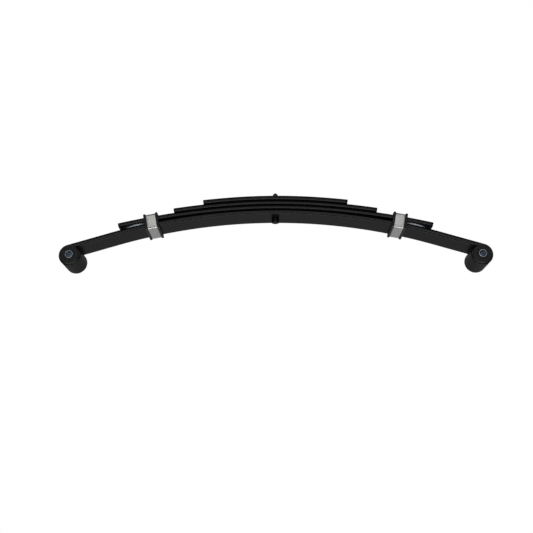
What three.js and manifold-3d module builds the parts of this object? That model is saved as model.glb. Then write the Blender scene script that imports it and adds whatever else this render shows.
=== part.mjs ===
// A four-leaf semi-elliptic spring, arch upwards, with its rebound clips, tip pads, centre bolt
// and the rubber bushes and steel sleeves of its two eyes.
// Millimetres. +X runs along the spring, +Y across its width, +Z up. The origin is midway between
// the eyes, on the plane that the two eyes stand on.

import * as THREE from "three";
import { mergeVertices } from "three/addons/utils/BufferGeometryUtils.js";
import Module from "manifold-3d";

const wasm = await Module();
wasm.setup();

const degrees = (value) => (value * Math.PI) / 180;
const point = (x, z) => new THREE.Vector2(x, z);

// ---- driving dimensions ----

const GAP = 0.3; // clearance kept between neighbouring pieces
const WIDTH = 50.8; // every leaf
const THICK = 7; // every leaf
const LEAF_COUNT = 4;

const EYE_SPAN = 624; // eye centre to eye centre
const EYE_RADIUS = 16.8; // outside of the rolled eye
const EYE_BORE = EYE_RADIUS - THICK;
const ROLL_FULL = degrees(300); // the roll is full thickness this far round
const ROLL_TIP = degrees(330); // and tapers to its tip here

const ARCH_RADIUS = 872; // middle of the main leaf
const ARCH_END = 248.5; // the main leaf runs straight from here to its eye
const FLATTER_FROM = 65; // the leaves above the main leaf flatten from here outwards
const FLATTER_RADIUS = 1126;
const LEAF_REACH = [0, 240.5, 156, 111]; // half lengths of the leaves above the main leaf

const CLIP_X = 189.5;
const BAND_WIDTH = 14.4;
const BAND_THICK = 1.5;
const LINER_WIDTH = 21.8;
const LINER_THICK = 1;
const LIP_PROUD = 1.4; // how far the liner's lips stand above the band
const LAP = 12; // half the overlap of the band's two ends
const JOGGLE_FROM = 4.5; // the strip steps up over its own end between these two
const JOGGLE_TO = 1.5;
const RIVET_RADIUS = 2;
const RIVET_HEAD = 4;
const RIVET_INNER_HEIGHT = 0.7;
const RIVET_DOME = 1.8;

const PAD_X = 213;
const PAD_RADIUS = 22.5;
const PEG_RADIUS = 4;
const PEG_BELOW_FLUSH = 0.2;

const BOLT_RADIUS = 4;
const BOLT_HEAD_RADIUS = 6;
const BOLT_HEAD_HEIGHT = 6.6;
const BOLT_FOOT_RADIUS = 3.5; // the flat at the bottom of the head's domed foot
const BOLT_FOOT_HEIGHT = 1.2;
const BOLT_STANDS_UP = 11.6; // above the shortest leaf
const BOLT_POINT_RADIUS = 2.1;
const BOLT_POINT_HEIGHT = 2.2;
const NUT_ACROSS_FLATS = 13;
const NUT_HEIGHT = 6.5;
const NUT_CHAMFER = 1.2;

const SLEEVE_RADIUS = 6;
const SLEEVE_BORE = 4.9;
const SLEEVE_LENGTH = 60;
const SLEEVE_CHAMFER = 0.4;
const BUSH_REACH = 17.2; // length of the part that goes into the eye
const BUSH_LEAD = 1.2; // taper at the end that goes in first
const FLANGE_RADIUS = 14.6;
const FLANGE_THICK = 4.3;
const FLANGE_CHAMFER = 0.7;

// ---- materials ----

const finish = (colour, roughness, metalness) =>
  new THREE.MeshStandardMaterial({ color: colour, roughness, metalness });

const PAINT = finish(0x17181a, 0.35, 0.1);
const BLACK_OXIDE = finish(0x121315, 0.35, 0.8);
const BRIGHT_STEEL = finish(0xc9ccd0, 0.28, 1);
const ZINC = finish(0xc4cfd6, 0.3, 1);
const RUBBER = finish(0x1c1c1e, 0.8, 0);
const NYLON = finish(0xd9e2ea, 0.3, 0);

// ---- solids ----

// A geometry as a manifold solid, for joining and cutting.
function solid(geometry) {
  const bare = geometry.clone();
  for (const name of Object.keys(bare.attributes)) {
    if (name !== "position") bare.deleteAttribute(name);
  }
  const merged = mergeVertices(bare, 1e-4);
  return new wasm.Manifold(
    new wasm.Mesh({
      numProp: 3,
      vertProperties: new Float32Array(merged.attributes.position.array),
      triVerts: new Uint32Array(merged.index.array),
    })
  );
}

function geometryOf(manifold) {
  const mesh = manifold.getMesh();
  const geometry = new THREE.BufferGeometry();
  geometry.setAttribute("position", new THREE.BufferAttribute(mesh.vertProperties, 3));
  geometry.setIndex(new THREE.BufferAttribute(mesh.triVerts, 1));
  return geometry;
}

// An outline given a depth along its normal, centred on its own plane.
function slab(points, depth, holes) {
  const shape = new THREE.Shape(points);
  shape.holes = holes.map((hole) => new THREE.Path(hole));
  return new THREE.ExtrudeGeometry(shape, { depth, bevelEnabled: false })
    .translate(0, 0, -depth / 2);
}

// An outline in the X-Z plane, given a depth along Y.
const acrossWidth = (points, depth) => slab(points, depth, []).rotateX(Math.PI / 2);

// An outline in the Y-Z plane, given a length along X.
const alongLength = (points, length, holes = []) =>
  slab(points, length, holes).rotateX(Math.PI / 2).rotateZ(Math.PI / 2);

// A solid of revolution about Z, from radius-height pairs.
function turned(profile, segments) {
  return new THREE.LatheGeometry(profile.map(([r, z]) => new THREE.Vector2(r, z)), segments)
    .rotateX(Math.PI / 2);
}

function pin(radius, from, to) {
  return turned([[0, from], [radius, from], [radius, to], [0, to]], 24);
}

// ---- the curves of the leaves ----

const FACET_LENGTH = 18; // along the leaves

// The angles at which a leaf of the arch is faceted. The middle facet is centred on the bolt.
function stations(until) {
  const facet = FACET_LENGTH / ARCH_RADIUS;
  const list = [];
  for (let angle = facet / 2; angle < until - facet / 4; angle += facet) list.push(angle);
  return [...list, until];
}

const EYE_Z = EYE_RADIUS;
const EYE_X = EYE_SPAN / 2;
const END_SLOPE = Math.asin(ARCH_END / ARCH_RADIUS);
const ROLL_MIDDLE = EYE_RADIUS - THICK / 2;
const STRAIGHT_END = point(
  EYE_X + ROLL_MIDDLE * Math.sin(END_SLOPE),
  EYE_Z + ROLL_MIDDLE * Math.cos(END_SLOPE)
);
const ARCH_TOP = // middle of the main leaf at the centre
  STRAIGHT_END.y + (STRAIGHT_END.x - ARCH_END) * Math.tan(END_SLOPE) +
  ARCH_RADIUS * (1 - Math.cos(END_SLOPE));
const ARCH_CENTRE_Z = ARCH_TOP - ARCH_RADIUS;

// A point on the arch, raised above the middle of the main leaf.
const onArch = (angle, raise) => point(
  (ARCH_RADIUS + raise) * Math.sin(angle),
  ARCH_CENTRE_Z + (ARCH_RADIUS + raise) * Math.cos(angle)
);

// The flatter outer stretch of the leaves above the main leaf shares its end tangent with the arch.
const FLATTER_ANGLE = Math.asin(FLATTER_FROM / ARCH_RADIUS);
const FLATTER_SHIFT = FLATTER_RADIUS - ARCH_RADIUS;
const onFlatter = (angle, raise) => point(
  (FLATTER_RADIUS + raise) * Math.sin(angle) - FLATTER_SHIFT * Math.sin(FLATTER_ANGLE),
  ARCH_CENTRE_Z + (FLATTER_RADIUS + raise) * Math.cos(angle) -
    FLATTER_SHIFT * Math.cos(FLATTER_ANGLE)
);

// The slope angle at which a leaf above the main leaf reaches a distance from the centre.
const flatterAngleAt = (x, raise) =>
  Math.asin((x + FLATTER_SHIFT * Math.sin(FLATTER_ANGLE)) / (FLATTER_RADIUS + raise));

// How far a leaf's middle stands above the main leaf's, counting the main leaf as 0.
const leafRaise = (index) => index * (THICK + GAP);
const UNDERSIDE = ARCH_TOP - THICK / 2;
const PACK_TOP = ARCH_TOP + leafRaise(LEAF_COUNT - 1) + THICK / 2;

// One face of a leaf above the main leaf, from the centre outwards.
function halfFace(reach, raise) {
  const points = stations(FLATTER_ANGLE).map((angle) => onArch(angle, raise));
  const end = flatterAngleAt(reach, raise);
  const steps = Math.ceil((reach - FLATTER_FROM) / FACET_LENGTH);
  for (let i = 1; i <= steps; i += 1) {
    points.push(onFlatter(FLATTER_ANGLE + ((end - FLATTER_ANGLE) * i) / steps, raise));
  }
  return points;
}

// A leaf with its bolt hole, from its two faces drawn from the centre to the rear end.
function leaf(top, under) {
  const rear = [...top, ...under.toReversed()];
  const front = rear.map((p) => point(-p.x, p.y)).reverse();
  const drill = pin(BOLT_RADIUS + GAP, UNDERSIDE - THICK, PACK_TOP + THICK);
  return solid(acrossWidth([...rear, ...front], WIDTH)).subtract(solid(drill));
}

// ---- leaves ----

const ROLL_STEP = degrees(12);

function onRoll(radius, turn) {
  const angle = Math.PI / 2 - END_SLOPE - turn;
  return point(EYE_X + radius * Math.cos(angle), EYE_Z + radius * Math.sin(angle));
}

// The arch, its straight ends and the eyes rolled under them.
function mainLeaf() {
  const top = stations(END_SLOPE).map((angle) => onArch(angle, THICK / 2));
  const under = stations(END_SLOPE).map((angle) => onArch(angle, -THICK / 2));
  for (let turn = 0; turn < ROLL_FULL; turn += ROLL_STEP) {
    top.push(onRoll(EYE_RADIUS, turn));
    under.push(onRoll(EYE_BORE, turn));
  }
  // from here the roll's outer face runs along the underside of the leaf that it closes against
  for (const turn of [ROLL_FULL, (ROLL_FULL + ROLL_TIP) / 2, ROLL_TIP]) {
    const underLeaf = (EYE_BORE - GAP) / Math.cos(2 * Math.PI - turn);
    top.push(onRoll(Math.min(EYE_RADIUS, underLeaf), turn));
    under.push(onRoll(EYE_BORE, turn));
  }
  return leaf(top, under);
}

function upperLeaf(index) {
  const raise = leafRaise(index);
  const reach = LEAF_REACH[index];
  return leaf(halfFace(reach, raise + THICK / 2), halfFace(reach, raise - THICK / 2));
}

// ---- centre bolt and nut ----

function centreBolt() {
  const headTop = UNDERSIDE - GAP;
  const headFoot = headTop - BOLT_HEAD_HEIGHT;
  const tip = PACK_TOP + BOLT_STANDS_UP;
  const edge = 0.7;
  return turned([
    [0, headFoot - BOLT_FOOT_HEIGHT], [BOLT_FOOT_RADIUS, headFoot - BOLT_FOOT_HEIGHT],
    [BOLT_HEAD_RADIUS - edge, headFoot], [BOLT_HEAD_RADIUS, headFoot + edge],
    [BOLT_HEAD_RADIUS, headTop], [BOLT_RADIUS, headTop],
    [BOLT_RADIUS, tip - BOLT_POINT_HEIGHT], [BOLT_POINT_RADIUS, tip], [0, tip],
  ], 32);
}

function centreNut() {
  const foot = PACK_TOP + GAP;
  const top = foot + NUT_HEIGHT;
  const corner = NUT_ACROSS_FLATS / Math.sqrt(3);
  const hexagon = new THREE.CylinderGeometry(corner, corner, NUT_HEIGHT, 6)
    .rotateX(Math.PI / 2)
    .translate(0, 0, foot + NUT_HEIGHT / 2);
  const chamfered = turned([
    [0, foot], [corner + GAP, foot], [corner + GAP, top - NUT_CHAMFER],
    [corner - NUT_CHAMFER, top], [0, top],
  ], 36);
  const thread = pin(BOLT_RADIUS + GAP, PACK_TOP, top + THICK);
  return solid(hexagon).intersect(solid(chamfered)).subtract(solid(thread));
}

// ---- rebound clips ----

// A clip holds the main leaf and the second leaf. It is drawn about its own centre and then tilted
// to lie along the second leaf.
const CLIP_TILT = flatterAngleAt(CLIP_X, leafRaise(1));
const CLIP_FOOT = onArch(Math.asin(CLIP_X / ARCH_RADIUS), -THICK / 2);
const CLIP_TOP = onFlatter(CLIP_TILT, leafRaise(1) + THICK / 2);
const CLIP_CENTRE_Z = (CLIP_FOOT.y + CLIP_TOP.y) / 2;
// the two leaves are not quite parallel, so the clip is opened a little over its width
const CLIP_TAPER = (LINER_WIDTH / 2) * (Math.asin(CLIP_X / ARCH_RADIUS) - CLIP_TILT);
const LINER_HALF_Y = WIDTH / 2 + GAP;
const LINER_HALF_Z = (CLIP_TOP.y - CLIP_FOOT.y) / 2 + CLIP_TAPER + GAP;
const LINER_CORNER = 0.5; // inside corner

// A rounded rectangle in the Y-Z plane, standing off the liner's inner face.
function frameOutline(grow) {
  const corner = LINER_CORNER + grow;
  const points = [];
  for (const [signY, signZ, start] of [[1, 1, 0], [-1, 1, 90], [-1, -1, 180], [1, -1, 270]]) {
    for (let turn = 0; turn <= 90; turn += 30) {
      points.push(point(
        signY * (LINER_HALF_Y + grow - corner) + corner * Math.cos(degrees(start + turn)),
        signZ * (LINER_HALF_Z + grow - corner) + corner * Math.sin(degrees(start + turn))
      ));
    }
  }
  return points;
}

const BAND_INNER = LINER_THICK + GAP;
const BAND_OUTER = BAND_INNER + BAND_THICK;

// A rubber channel round the leaves, with a lip on each side of the band.
function clipLiner() {
  const collar = (thick, length) => alongLength(frameOutline(thick), length, [frameOutline(0)]);
  const lipWidth = (LINER_WIDTH - BAND_WIDTH) / 2 - GAP;
  let liner = solid(collar(LINER_THICK, LINER_WIDTH));
  for (const side of [-1, 1]) {
    const lip = collar(BAND_OUTER + LIP_PROUD, lipWidth);
    liner = liner.add(solid(lip.translate((side * (LINER_WIDTH - lipWidth)) / 2, 0, 0)));
  }
  // the rivet's inner head sits in a round pocket through the liner
  return liner.subtract(solid(pin(RIVET_HEAD + GAP, 0, LINER_HALF_Z + BAND_INNER)));
}

// One strip bent round the liner, its end lapped over its start on the top.
function clipBand() {
  const strip = (grow) => {
    const height = LINER_HALF_Z + grow;
    const lapHeight = height + BAND_THICK + GAP;
    const round = frameOutline(grow);
    const clockwise = [...round.slice(0, 4).reverse(), ...round.slice(4).reverse()];
    return [point(-LAP, height), ...clockwise, point(-LAP - JOGGLE_FROM, height),
      point(-LAP - JOGGLE_TO, lapHeight), point(LAP, lapHeight)];
  };
  const outline = [...strip(BAND_OUTER), ...strip(BAND_INNER).reverse()];
  const rivetHole = pin(RIVET_RADIUS + GAP, 0, LINER_HALF_Z + BAND_OUTER + THICK);
  return solid(alongLength(outline, BAND_WIDTH)).subtract(solid(rivetHole));
}

function clipRivet() {
  const inner = LINER_HALF_Z + BAND_INNER - GAP;
  const outer = LINER_HALF_Z + BAND_OUTER + BAND_THICK + 2 * GAP;
  return turned([
    [0, inner - RIVET_INNER_HEIGHT], [RIVET_HEAD, inner - RIVET_INNER_HEIGHT], [RIVET_HEAD, inner],
    [RIVET_RADIUS, inner], [RIVET_RADIUS, outer], [RIVET_HEAD, outer],
    [RIVET_HEAD * 0.8, outer + RIVET_DOME * 0.6], [RIVET_HEAD * 0.45, outer + RIVET_DOME * 0.95],
    [0, outer + RIVET_DOME],
  ], 24);
}

// ---- tip pads ----

// The pad fills the wedge between the main leaf and the free end of the second leaf, and its peg
// stands in a hole in the second leaf.
const PAD_ANGLE = flatterAngleAt(PAD_X, leafRaise(1));
const PEG_FOOT = onFlatter(PAD_ANGLE, leafRaise(1) - THICK / 2);

// A pin square to the second leaf, its heights measured from that leaf's underside.
const peg = (radius, from, to) =>
  pin(radius, from, to).rotateY(PAD_ANGLE).translate(PEG_FOOT.x, 0, PEG_FOOT.y);

function tipPad() {
  const foot = [];
  const head = [];
  const steps = 6;
  const reach = PAD_RADIUS + GAP;
  for (let i = 0; i <= steps; i += 1) {
    const x = PAD_X + reach * ((2 * i) / steps - 1);
    foot.push(onArch(Math.asin(x / ARCH_RADIUS), THICK / 2 + GAP));
    head.push(onFlatter(flatterAngleAt(x, 0), leafRaise(1) - THICK / 2 - GAP));
  }
  const wedge = solid(acrossWidth([...head, ...foot.reverse()], 2 * reach));
  const disc = solid(peg(PAD_RADIUS, -THICK, THICK));
  // the peg starts inside the disc, so that the two are one piece
  return wedge.intersect(disc).add(solid(peg(PEG_RADIUS, -1, THICK - PEG_BELOW_FLUSH)));
}

function secondLeaf() {
  const hole = peg(PEG_RADIUS + GAP, -THICK / 2, 2 * THICK);
  return upperLeaf(1).subtract(solid(hole)).subtract(solid(hole.clone().rotateZ(Math.PI)));
}

// ---- eyes: sleeves and bushes ----

function sleeve() {
  const half = SLEEVE_LENGTH / 2;
  return turned([
    [SLEEVE_BORE, -half], [SLEEVE_RADIUS - SLEEVE_CHAMFER, -half],
    [SLEEVE_RADIUS, -half + SLEEVE_CHAMFER], [SLEEVE_RADIUS, half - SLEEVE_CHAMFER],
    [SLEEVE_RADIUS - SLEEVE_CHAMFER, half], [SLEEVE_BORE, half], [SLEEVE_BORE, -half],
  ], 24);
}

// A flanged bush, its body running down from the flange into the eye.
function bush() {
  const bore = SLEEVE_RADIUS + GAP;
  const body = EYE_BORE - GAP;
  const shoulder = WIDTH / 2 + GAP;
  const face = shoulder + FLANGE_THICK;
  const foot = shoulder - BUSH_REACH;
  return turned([
    [bore, foot], [body - BUSH_LEAD, foot], [body, foot + BUSH_LEAD], [body, shoulder],
    [FLANGE_RADIUS, shoulder], [FLANGE_RADIUS, face - FLANGE_CHAMFER],
    [FLANGE_RADIUS - FLANGE_CHAMFER, face], [bore, face], [bore, foot],
  ], 28);
}

// ---- assembly ----

const spring = new THREE.Group();

function place(parent, name, shape, material) {
  const geometry = shape.isBufferGeometry ? shape : geometryOf(shape);
  const mesh = new THREE.Mesh(geometry, material);
  mesh.name = name;
  parent.add(mesh);
  return mesh;
}

place(spring, "main_leaf", mainLeaf(), PAINT);
place(spring, "second_leaf", secondLeaf(), PAINT);
place(spring, "third_leaf", upperLeaf(2), PAINT);
place(spring, "short_leaf", upperLeaf(3), PAINT);
place(spring, "centre_bolt", centreBolt(), BLACK_OXIDE);
place(spring, "centre_nut", centreNut(), BLACK_OXIDE);

// The front half is the rear half turned half a turn about the upright axis, so the bush that is
// on the near side there comes from the far side here.
for (const [end, turn, nearSign] of [["rear", 0, 1], ["front", Math.PI, -1]]) {
  const half = new THREE.Group();
  half.rotation.z = turn;
  spring.add(half);

  const clip = new THREE.Group();
  clip.position.set(CLIP_X, 0, CLIP_CENTRE_Z);
  clip.rotation.y = CLIP_TILT;
  half.add(clip);
  place(clip, `${end}_clip_band`, clipBand(), BRIGHT_STEEL);
  place(clip, `${end}_clip_liner`, clipLiner(), RUBBER);
  place(clip, `${end}_clip_rivet`, clipRivet(), BRIGHT_STEEL);

  place(half, `${end}_tip_pad`, tipPad(), NYLON);

  const eye = new THREE.Group();
  eye.position.set(EYE_X, 0, EYE_Z);
  half.add(eye);
  place(eye, `${end}_eye_sleeve`, sleeve(), ZINC).rotation.x = Math.PI / 2;
  place(eye, `${end}_near_bush`, bush(), RUBBER).rotation.x = (nearSign * Math.PI) / 2;
  place(eye, `${end}_far_bush`, bush(), RUBBER).rotation.x = (-nearSign * Math.PI) / 2;
}

export default spring;
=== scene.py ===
# %% [markdown]
# # A leaf spring, as it comes in its box
#
# This lesson dresses a imported model of a leaf spring: a bundle of curved steel bars that carries a
# vehicle on its two rolled ends. The imported model gives every piece its place and its motion, so
# each piece made here is modelled where it belongs, in metres. The bolt, nut, clips, pads and eye
# parts then ride on bodies of that model.

import math

import bmesh
import bpy
from mathutils import Matrix, Vector


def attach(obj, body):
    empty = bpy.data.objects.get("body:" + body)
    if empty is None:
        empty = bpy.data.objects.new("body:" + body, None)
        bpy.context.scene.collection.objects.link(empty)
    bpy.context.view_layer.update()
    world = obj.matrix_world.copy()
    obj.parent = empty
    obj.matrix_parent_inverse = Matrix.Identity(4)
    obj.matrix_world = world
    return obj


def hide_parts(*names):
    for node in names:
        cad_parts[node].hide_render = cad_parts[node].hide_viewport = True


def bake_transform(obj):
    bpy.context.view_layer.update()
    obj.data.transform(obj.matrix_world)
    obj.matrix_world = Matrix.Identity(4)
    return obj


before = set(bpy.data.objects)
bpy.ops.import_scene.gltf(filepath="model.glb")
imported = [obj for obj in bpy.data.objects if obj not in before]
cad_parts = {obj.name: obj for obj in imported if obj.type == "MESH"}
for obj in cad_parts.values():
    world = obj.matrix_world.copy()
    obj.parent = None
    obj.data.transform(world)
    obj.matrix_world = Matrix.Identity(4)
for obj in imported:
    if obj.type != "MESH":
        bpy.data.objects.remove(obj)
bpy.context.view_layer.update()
MM = 0.001
print("nodes:", len(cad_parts))

# %% [markdown]
# ## The camera
#
# The spring is looked at from below its own level, so that the hollow side of the arch shows as a
# broad dark strip and the eyes show as short barrels. A lens a little longer than normal, a bit
# more than a metre away, gives the strip its depth without making the ends bulge.

# %% The camera
CAMERA_PLACE = (-1.76 * MM, -1267.8 * MM, -333.7 * MM)
LOOKING_UP = 0.2607
TURNED_LEFT = 0.0095
LENS_MM, SENSOR_MM = 57.69, 36
bpy.ops.object.camera_add(
    location=CAMERA_PLACE, rotation=(math.pi / 2 + LOOKING_UP, 0, TURNED_LEFT)
)
camera = bpy.context.object
camera.name = "camera"
camera.data.lens = LENS_MM
camera.data.sensor_width = SENSOR_MM
bpy.context.scene.camera = camera
print("camera lens", camera.data.lens, "mm")

# %% [markdown]
# ## The light
#
# Black paint shows nothing but what it reflects, so the light is arranged for its reflections. A
# broad soft lamp in front of the spring, and a narrow stronger one below its level, draw the light
# stripes along the edges of the bars. A lamp underneath reaches the clips and the hollow side of
# the arch. Three more, overhead, at the left and behind, light whatever faces up or away.

# %% The lamps
MIDDLE = Vector((0, 0, 0.06))
NEUTRAL = (1, 1, 1)
COOL = (0.86, 0.92, 1)


def soft_lamp(name, place, size, brightness, colour):
    """A rectangular lamp that faces the spring and looks equally bright at any size."""
    bpy.ops.object.light_add(type="AREA", location=place)
    lamp = bpy.context.object
    lamp.name = name
    lamp.rotation_euler = (MIDDLE - Vector(place)).to_track_quat("-Z", "Y").to_euler()
    lamp.data.shape = "RECTANGLE"
    lamp.data.size, lamp.data.size_y = size
    lamp.data.energy = brightness * math.pi * size[0] * size[1]
    lamp.data.color = colour
    lamp.visible_camera = False


soft_lamp("front_lamp", (0, -2.0, 0.75), (2.6, 0.9), 0.85, NEUTRAL)
soft_lamp("strip_lamp", (0, -1.9, -0.45), (2.4, 0.4), 2.6, NEUTRAL)
soft_lamp("under_lamp", (0, 0.5, -1.7), (2.4, 1.0), 3.0, NEUTRAL)
soft_lamp("overhead_lamp", (0, 1.2, 2.0), (2.6, 1.6), 1.2, COOL)
soft_lamp("side_lamp", (-2.4, 0.9, 0.7), (1.2, 0.8), 1.5, COOL)
soft_lamp("back_lamp", (0.4, 2.4, 1.6), (2.4, 0.8), 0.4, NEUTRAL)

# %% [markdown]
# ### The room
#
# What the camera sees straight through is plain white, but that much white would wash out the
# paint. So the light that reaches the metal comes from another room, which is nearly black in
# front and turns grey towards the back. The underside of the arch reflects that grey back.

# %% The room
BACK_GREY, FRONT_GREY = 0.125, 0.015
TURNS_FROM, TURNS_TO = -0.2, 0.4
COLD_GREY = (1, 1, 1.04, 1)
WHITE = (1, 1, 1, 1)
world = bpy.data.worlds.new("room")
world.use_nodes = True
bpy.context.scene.world = world
bpy.context.scene.view_settings.view_transform = "Standard"
nodes = world.node_tree.nodes
links = world.node_tree.links
direction = nodes.new("ShaderNodeSeparateXYZ")
links.new(nodes.new("ShaderNodeTexCoord").outputs["Generated"], direction.inputs["Vector"])
depth = nodes.new("ShaderNodeMapRange")
for label, value in (
    ("From Min", TURNS_FROM),
    ("From Max", TURNS_TO),
    ("To Min", FRONT_GREY),
    ("To Max", BACK_GREY),
):
    depth.inputs[label].default_value = value
links.new(direction.outputs["Y"], depth.inputs["Value"])
seen = nodes.new("ShaderNodeLightPath")
white = nodes.new("ShaderNodeBackground")
white.inputs["Color"].default_value = WHITE
grey = nodes["Background"]
grey.inputs["Color"].default_value = COLD_GREY
links.new(depth.outputs["Result"], grey.inputs["Strength"])
either = nodes.new("ShaderNodeMixShader")
links.new(seen.outputs["Is Camera Ray"], either.inputs["Fac"])
links.new(grey.outputs["Background"], either.inputs[1])
links.new(white.outputs["Background"], either.inputs[2])
links.new(either.outputs["Shader"], nodes["World Output"].inputs["Surface"])
print("room grey", FRONT_GREY, "in front and", BACK_GREY, "behind")

# %% [markdown]
# ## Modelling by hand, in code
#
# Every piece below is made with the operators that a person would use in the window. An operator
# works on what is selected, so a few helpers deselect everything, open one piece for editing, and
# pick its parts by where they are.

# %% Helpers for selecting
def alone(piece):
    """Makes a piece the only selected object and the active one."""
    bpy.ops.object.select_all(action="DESELECT")
    piece.select_set(True)
    bpy.context.view_layer.objects.active = piece


def edit(piece):
    """Opens a piece in edit mode."""
    alone(piece)
    bpy.ops.object.mode_set(mode="EDIT")


def close():
    """Goes back to object mode."""
    bpy.ops.object.mode_set(mode="OBJECT")


def pick(piece, kind, wanted):
    """In edit mode, selects the VERT, EDGE or FACE elements for which wanted() is true."""
    bpy.ops.mesh.select_mode(type=kind)
    bpy.ops.mesh.select_all(action="DESELECT")
    shape = bmesh.from_edit_mesh(piece.data)
    elements = {"VERT": shape.verts, "EDGE": shape.edges, "FACE": shape.faces}[kind]
    found = [element for element in elements if wanted(element)]
    for element in found:
        element.select_set(True)
    shape.select_flush_mode()
    bmesh.update_edit_mesh(piece.data)
    return len(found)


def settle(piece):
    """Writes a piece's place, turn and size into its mesh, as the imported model's nodes have it."""
    alone(piece)
    bpy.ops.object.transform_apply(location=True, rotation=True, scale=True)
    return piece


def use(piece, kind, **settings):
    """Adds a modifier and applies it at once."""
    alone(piece)
    modifier = piece.modifiers.new(kind.lower(), kind)
    for name, value in settings.items():
        setattr(modifier, name, value)
    bpy.ops.object.modifier_apply(modifier=modifier.name)


def smooth(piece):
    """Shades a piece smooth, but for its real corners."""
    alone(piece)
    bpy.ops.object.shade_smooth_by_angle(angle=math.radians(32))
    return piece


def bevel_corners(piece, width, segments, sharper_than):
    """Rounds every edge that turns by more than so many degrees."""
    angle = math.radians(sharper_than)
    use(piece, "BEVEL", width=width, segments=segments, limit_method="ANGLE", angle_limit=angle)


def open_edges(piece):
    """How many edges are not shared by exactly two faces. A closed piece has none."""
    shape = bmesh.new()
    shape.from_mesh(piece.data)
    count = sum(not edge.is_manifold for edge in shape.edges)
    shape.free()
    return count


def report(piece):
    """Prints what was made, and whether it is closed."""
    size = [round(side / MM, 1) for side in piece.dimensions]
    print(f"{piece.name}: {size} mm, {len(piece.data.polygons)} faces, {open_edges(piece)} open")


# %% [markdown]
# ## Finishes
#
# A few small effects make up all the finishes, so each one is a node group with its own sockets: a
# fine ripple, scattered pits, long scratches, and dust that has settled on what faces up. A group
# gives out only a mask or a height. The shader itself stays in the material.

# %% Building a node group
def node_group(name, inputs, output):
    """An empty shader group with float or vector inputs and one float output."""
    tree = bpy.data.node_groups.new(name, "ShaderNodeTree")
    for label, kind, value in inputs:
        socket = tree.interface.new_socket(label, in_out="INPUT", socket_type=kind)
        if value is not None:
            socket.default_value = value
    tree.interface.new_socket(output, in_out="OUTPUT", socket_type="NodeSocketFloat")
    return tree, tree.nodes.new("NodeGroupInput"), tree.nodes.new("NodeGroupOutput")


def calculate(tree, operation, first, second=None, clamp=False):
    """A Math node fed by sockets or by plain numbers."""
    node = tree.nodes.new("ShaderNodeMath")
    node.operation = operation
    node.use_clamp = clamp
    for socket, value in zip(node.inputs, (first, second)):
        if isinstance(value, bpy.types.NodeSocket):
            tree.links.new(value, socket)
        elif value is not None:
            socket.default_value = value
    return node.outputs[0]


FLOAT = "NodeSocketFloat"
VECTOR = "NodeSocketVector"

# %% A fine ripple
ripple, start, end = node_group(
    "fine_ripple",
    [("Vector", VECTOR, None), ("Waves per metre", FLOAT, 400.0), ("Roughness", FLOAT, 0.5)],
    "Height",
)
noise = ripple.nodes.new("ShaderNodeTexNoise")
noise.inputs["Detail"].default_value = 3
ripple.links.new(start.outputs["Vector"], noise.inputs["Vector"])
ripple.links.new(start.outputs["Waves per metre"], noise.inputs["Scale"])
ripple.links.new(start.outputs["Roughness"], noise.inputs["Roughness"])
ripple.links.new(noise.outputs["Fac"], end.inputs["Height"])
print("group", ripple.name)

# %% Scattered pits
pits, start, end = node_group(
    "scattered_pits",
    [("Vector", VECTOR, None), ("Cells per metre", FLOAT, 90.0), ("Share of cells", FLOAT, 0.1),
     ("Radius in cells", FLOAT, 0.12)],
    "Mask",
)
cells = pits.nodes.new("ShaderNodeTexVoronoi")
pits.links.new(start.outputs["Vector"], cells.inputs["Vector"])
pits.links.new(start.outputs["Cells per metre"], cells.inputs["Scale"])
lot = pits.nodes.new("ShaderNodeSeparateColor")
pits.links.new(cells.outputs["Color"], lot.inputs["Color"])
drawn = calculate(pits, "LESS_THAN", lot.outputs["Red"], start.outputs["Share of cells"])
depth = calculate(pits, "DIVIDE", cells.outputs["Distance"], start.outputs["Radius in cells"])
inside = calculate(pits, "SUBTRACT", 1.0, depth, clamp=True)
pits.links.new(calculate(pits, "MULTIPLY", drawn, inside), end.inputs["Mask"])
print("group", pits.name)

# %% Long scratches
scratches, start, end = node_group(
    "long_scratches",
    [("Vector", VECTOR, None), ("Stretch", VECTOR, (40.0, 2500.0, 2500.0)),
     ("Threshold", FLOAT, 0.6)],
    "Mask",
)
stretched = scratches.nodes.new("ShaderNodeVectorMath")
stretched.operation = "MULTIPLY"
scratches.links.new(start.outputs["Vector"], stretched.inputs[0])
scratches.links.new(start.outputs["Stretch"], stretched.inputs[1])
lines = scratches.nodes.new("ShaderNodeTexNoise")
lines.inputs["Scale"].default_value = 1
lines.inputs["Detail"].default_value = 4
scratches.links.new(stretched.outputs[0], lines.inputs["Vector"])
above = calculate(scratches, "SUBTRACT", lines.outputs["Fac"], start.outputs["Threshold"])
scratches.links.new(calculate(scratches, "MULTIPLY", above, 6.0, clamp=True), end.inputs["Mask"])
print("group", scratches.name)

# %% Settled dust
dust, start, end = node_group(
    "settled_dust",
    [("Vector", VECTOR, None), ("Amount", FLOAT, 0.3)],
    "Mask",
)
facing = dust.nodes.new("ShaderNodeNewGeometry")
axes = dust.nodes.new("ShaderNodeSeparateXYZ")
dust.links.new(facing.outputs["Normal"], axes.inputs["Vector"])
level = calculate(dust, "SUBTRACT", axes.outputs["Z"], 0.6)
upward = calculate(dust, "MULTIPLY", level, 2.5, clamp=True)
patchy = dust.nodes.new("ShaderNodeTexNoise")
patchy.inputs["Scale"].default_value = 60
patchy.inputs["Detail"].default_value = 6
dust.links.new(start.outputs["Vector"], patchy.inputs["Vector"])
fallen = calculate(dust, "MULTIPLY", upward, patchy.outputs["Fac"])
dust.links.new(calculate(dust, "MULTIPLY", fallen, start.outputs["Amount"]), end.inputs["Mask"])
print("group", dust.name)

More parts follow.
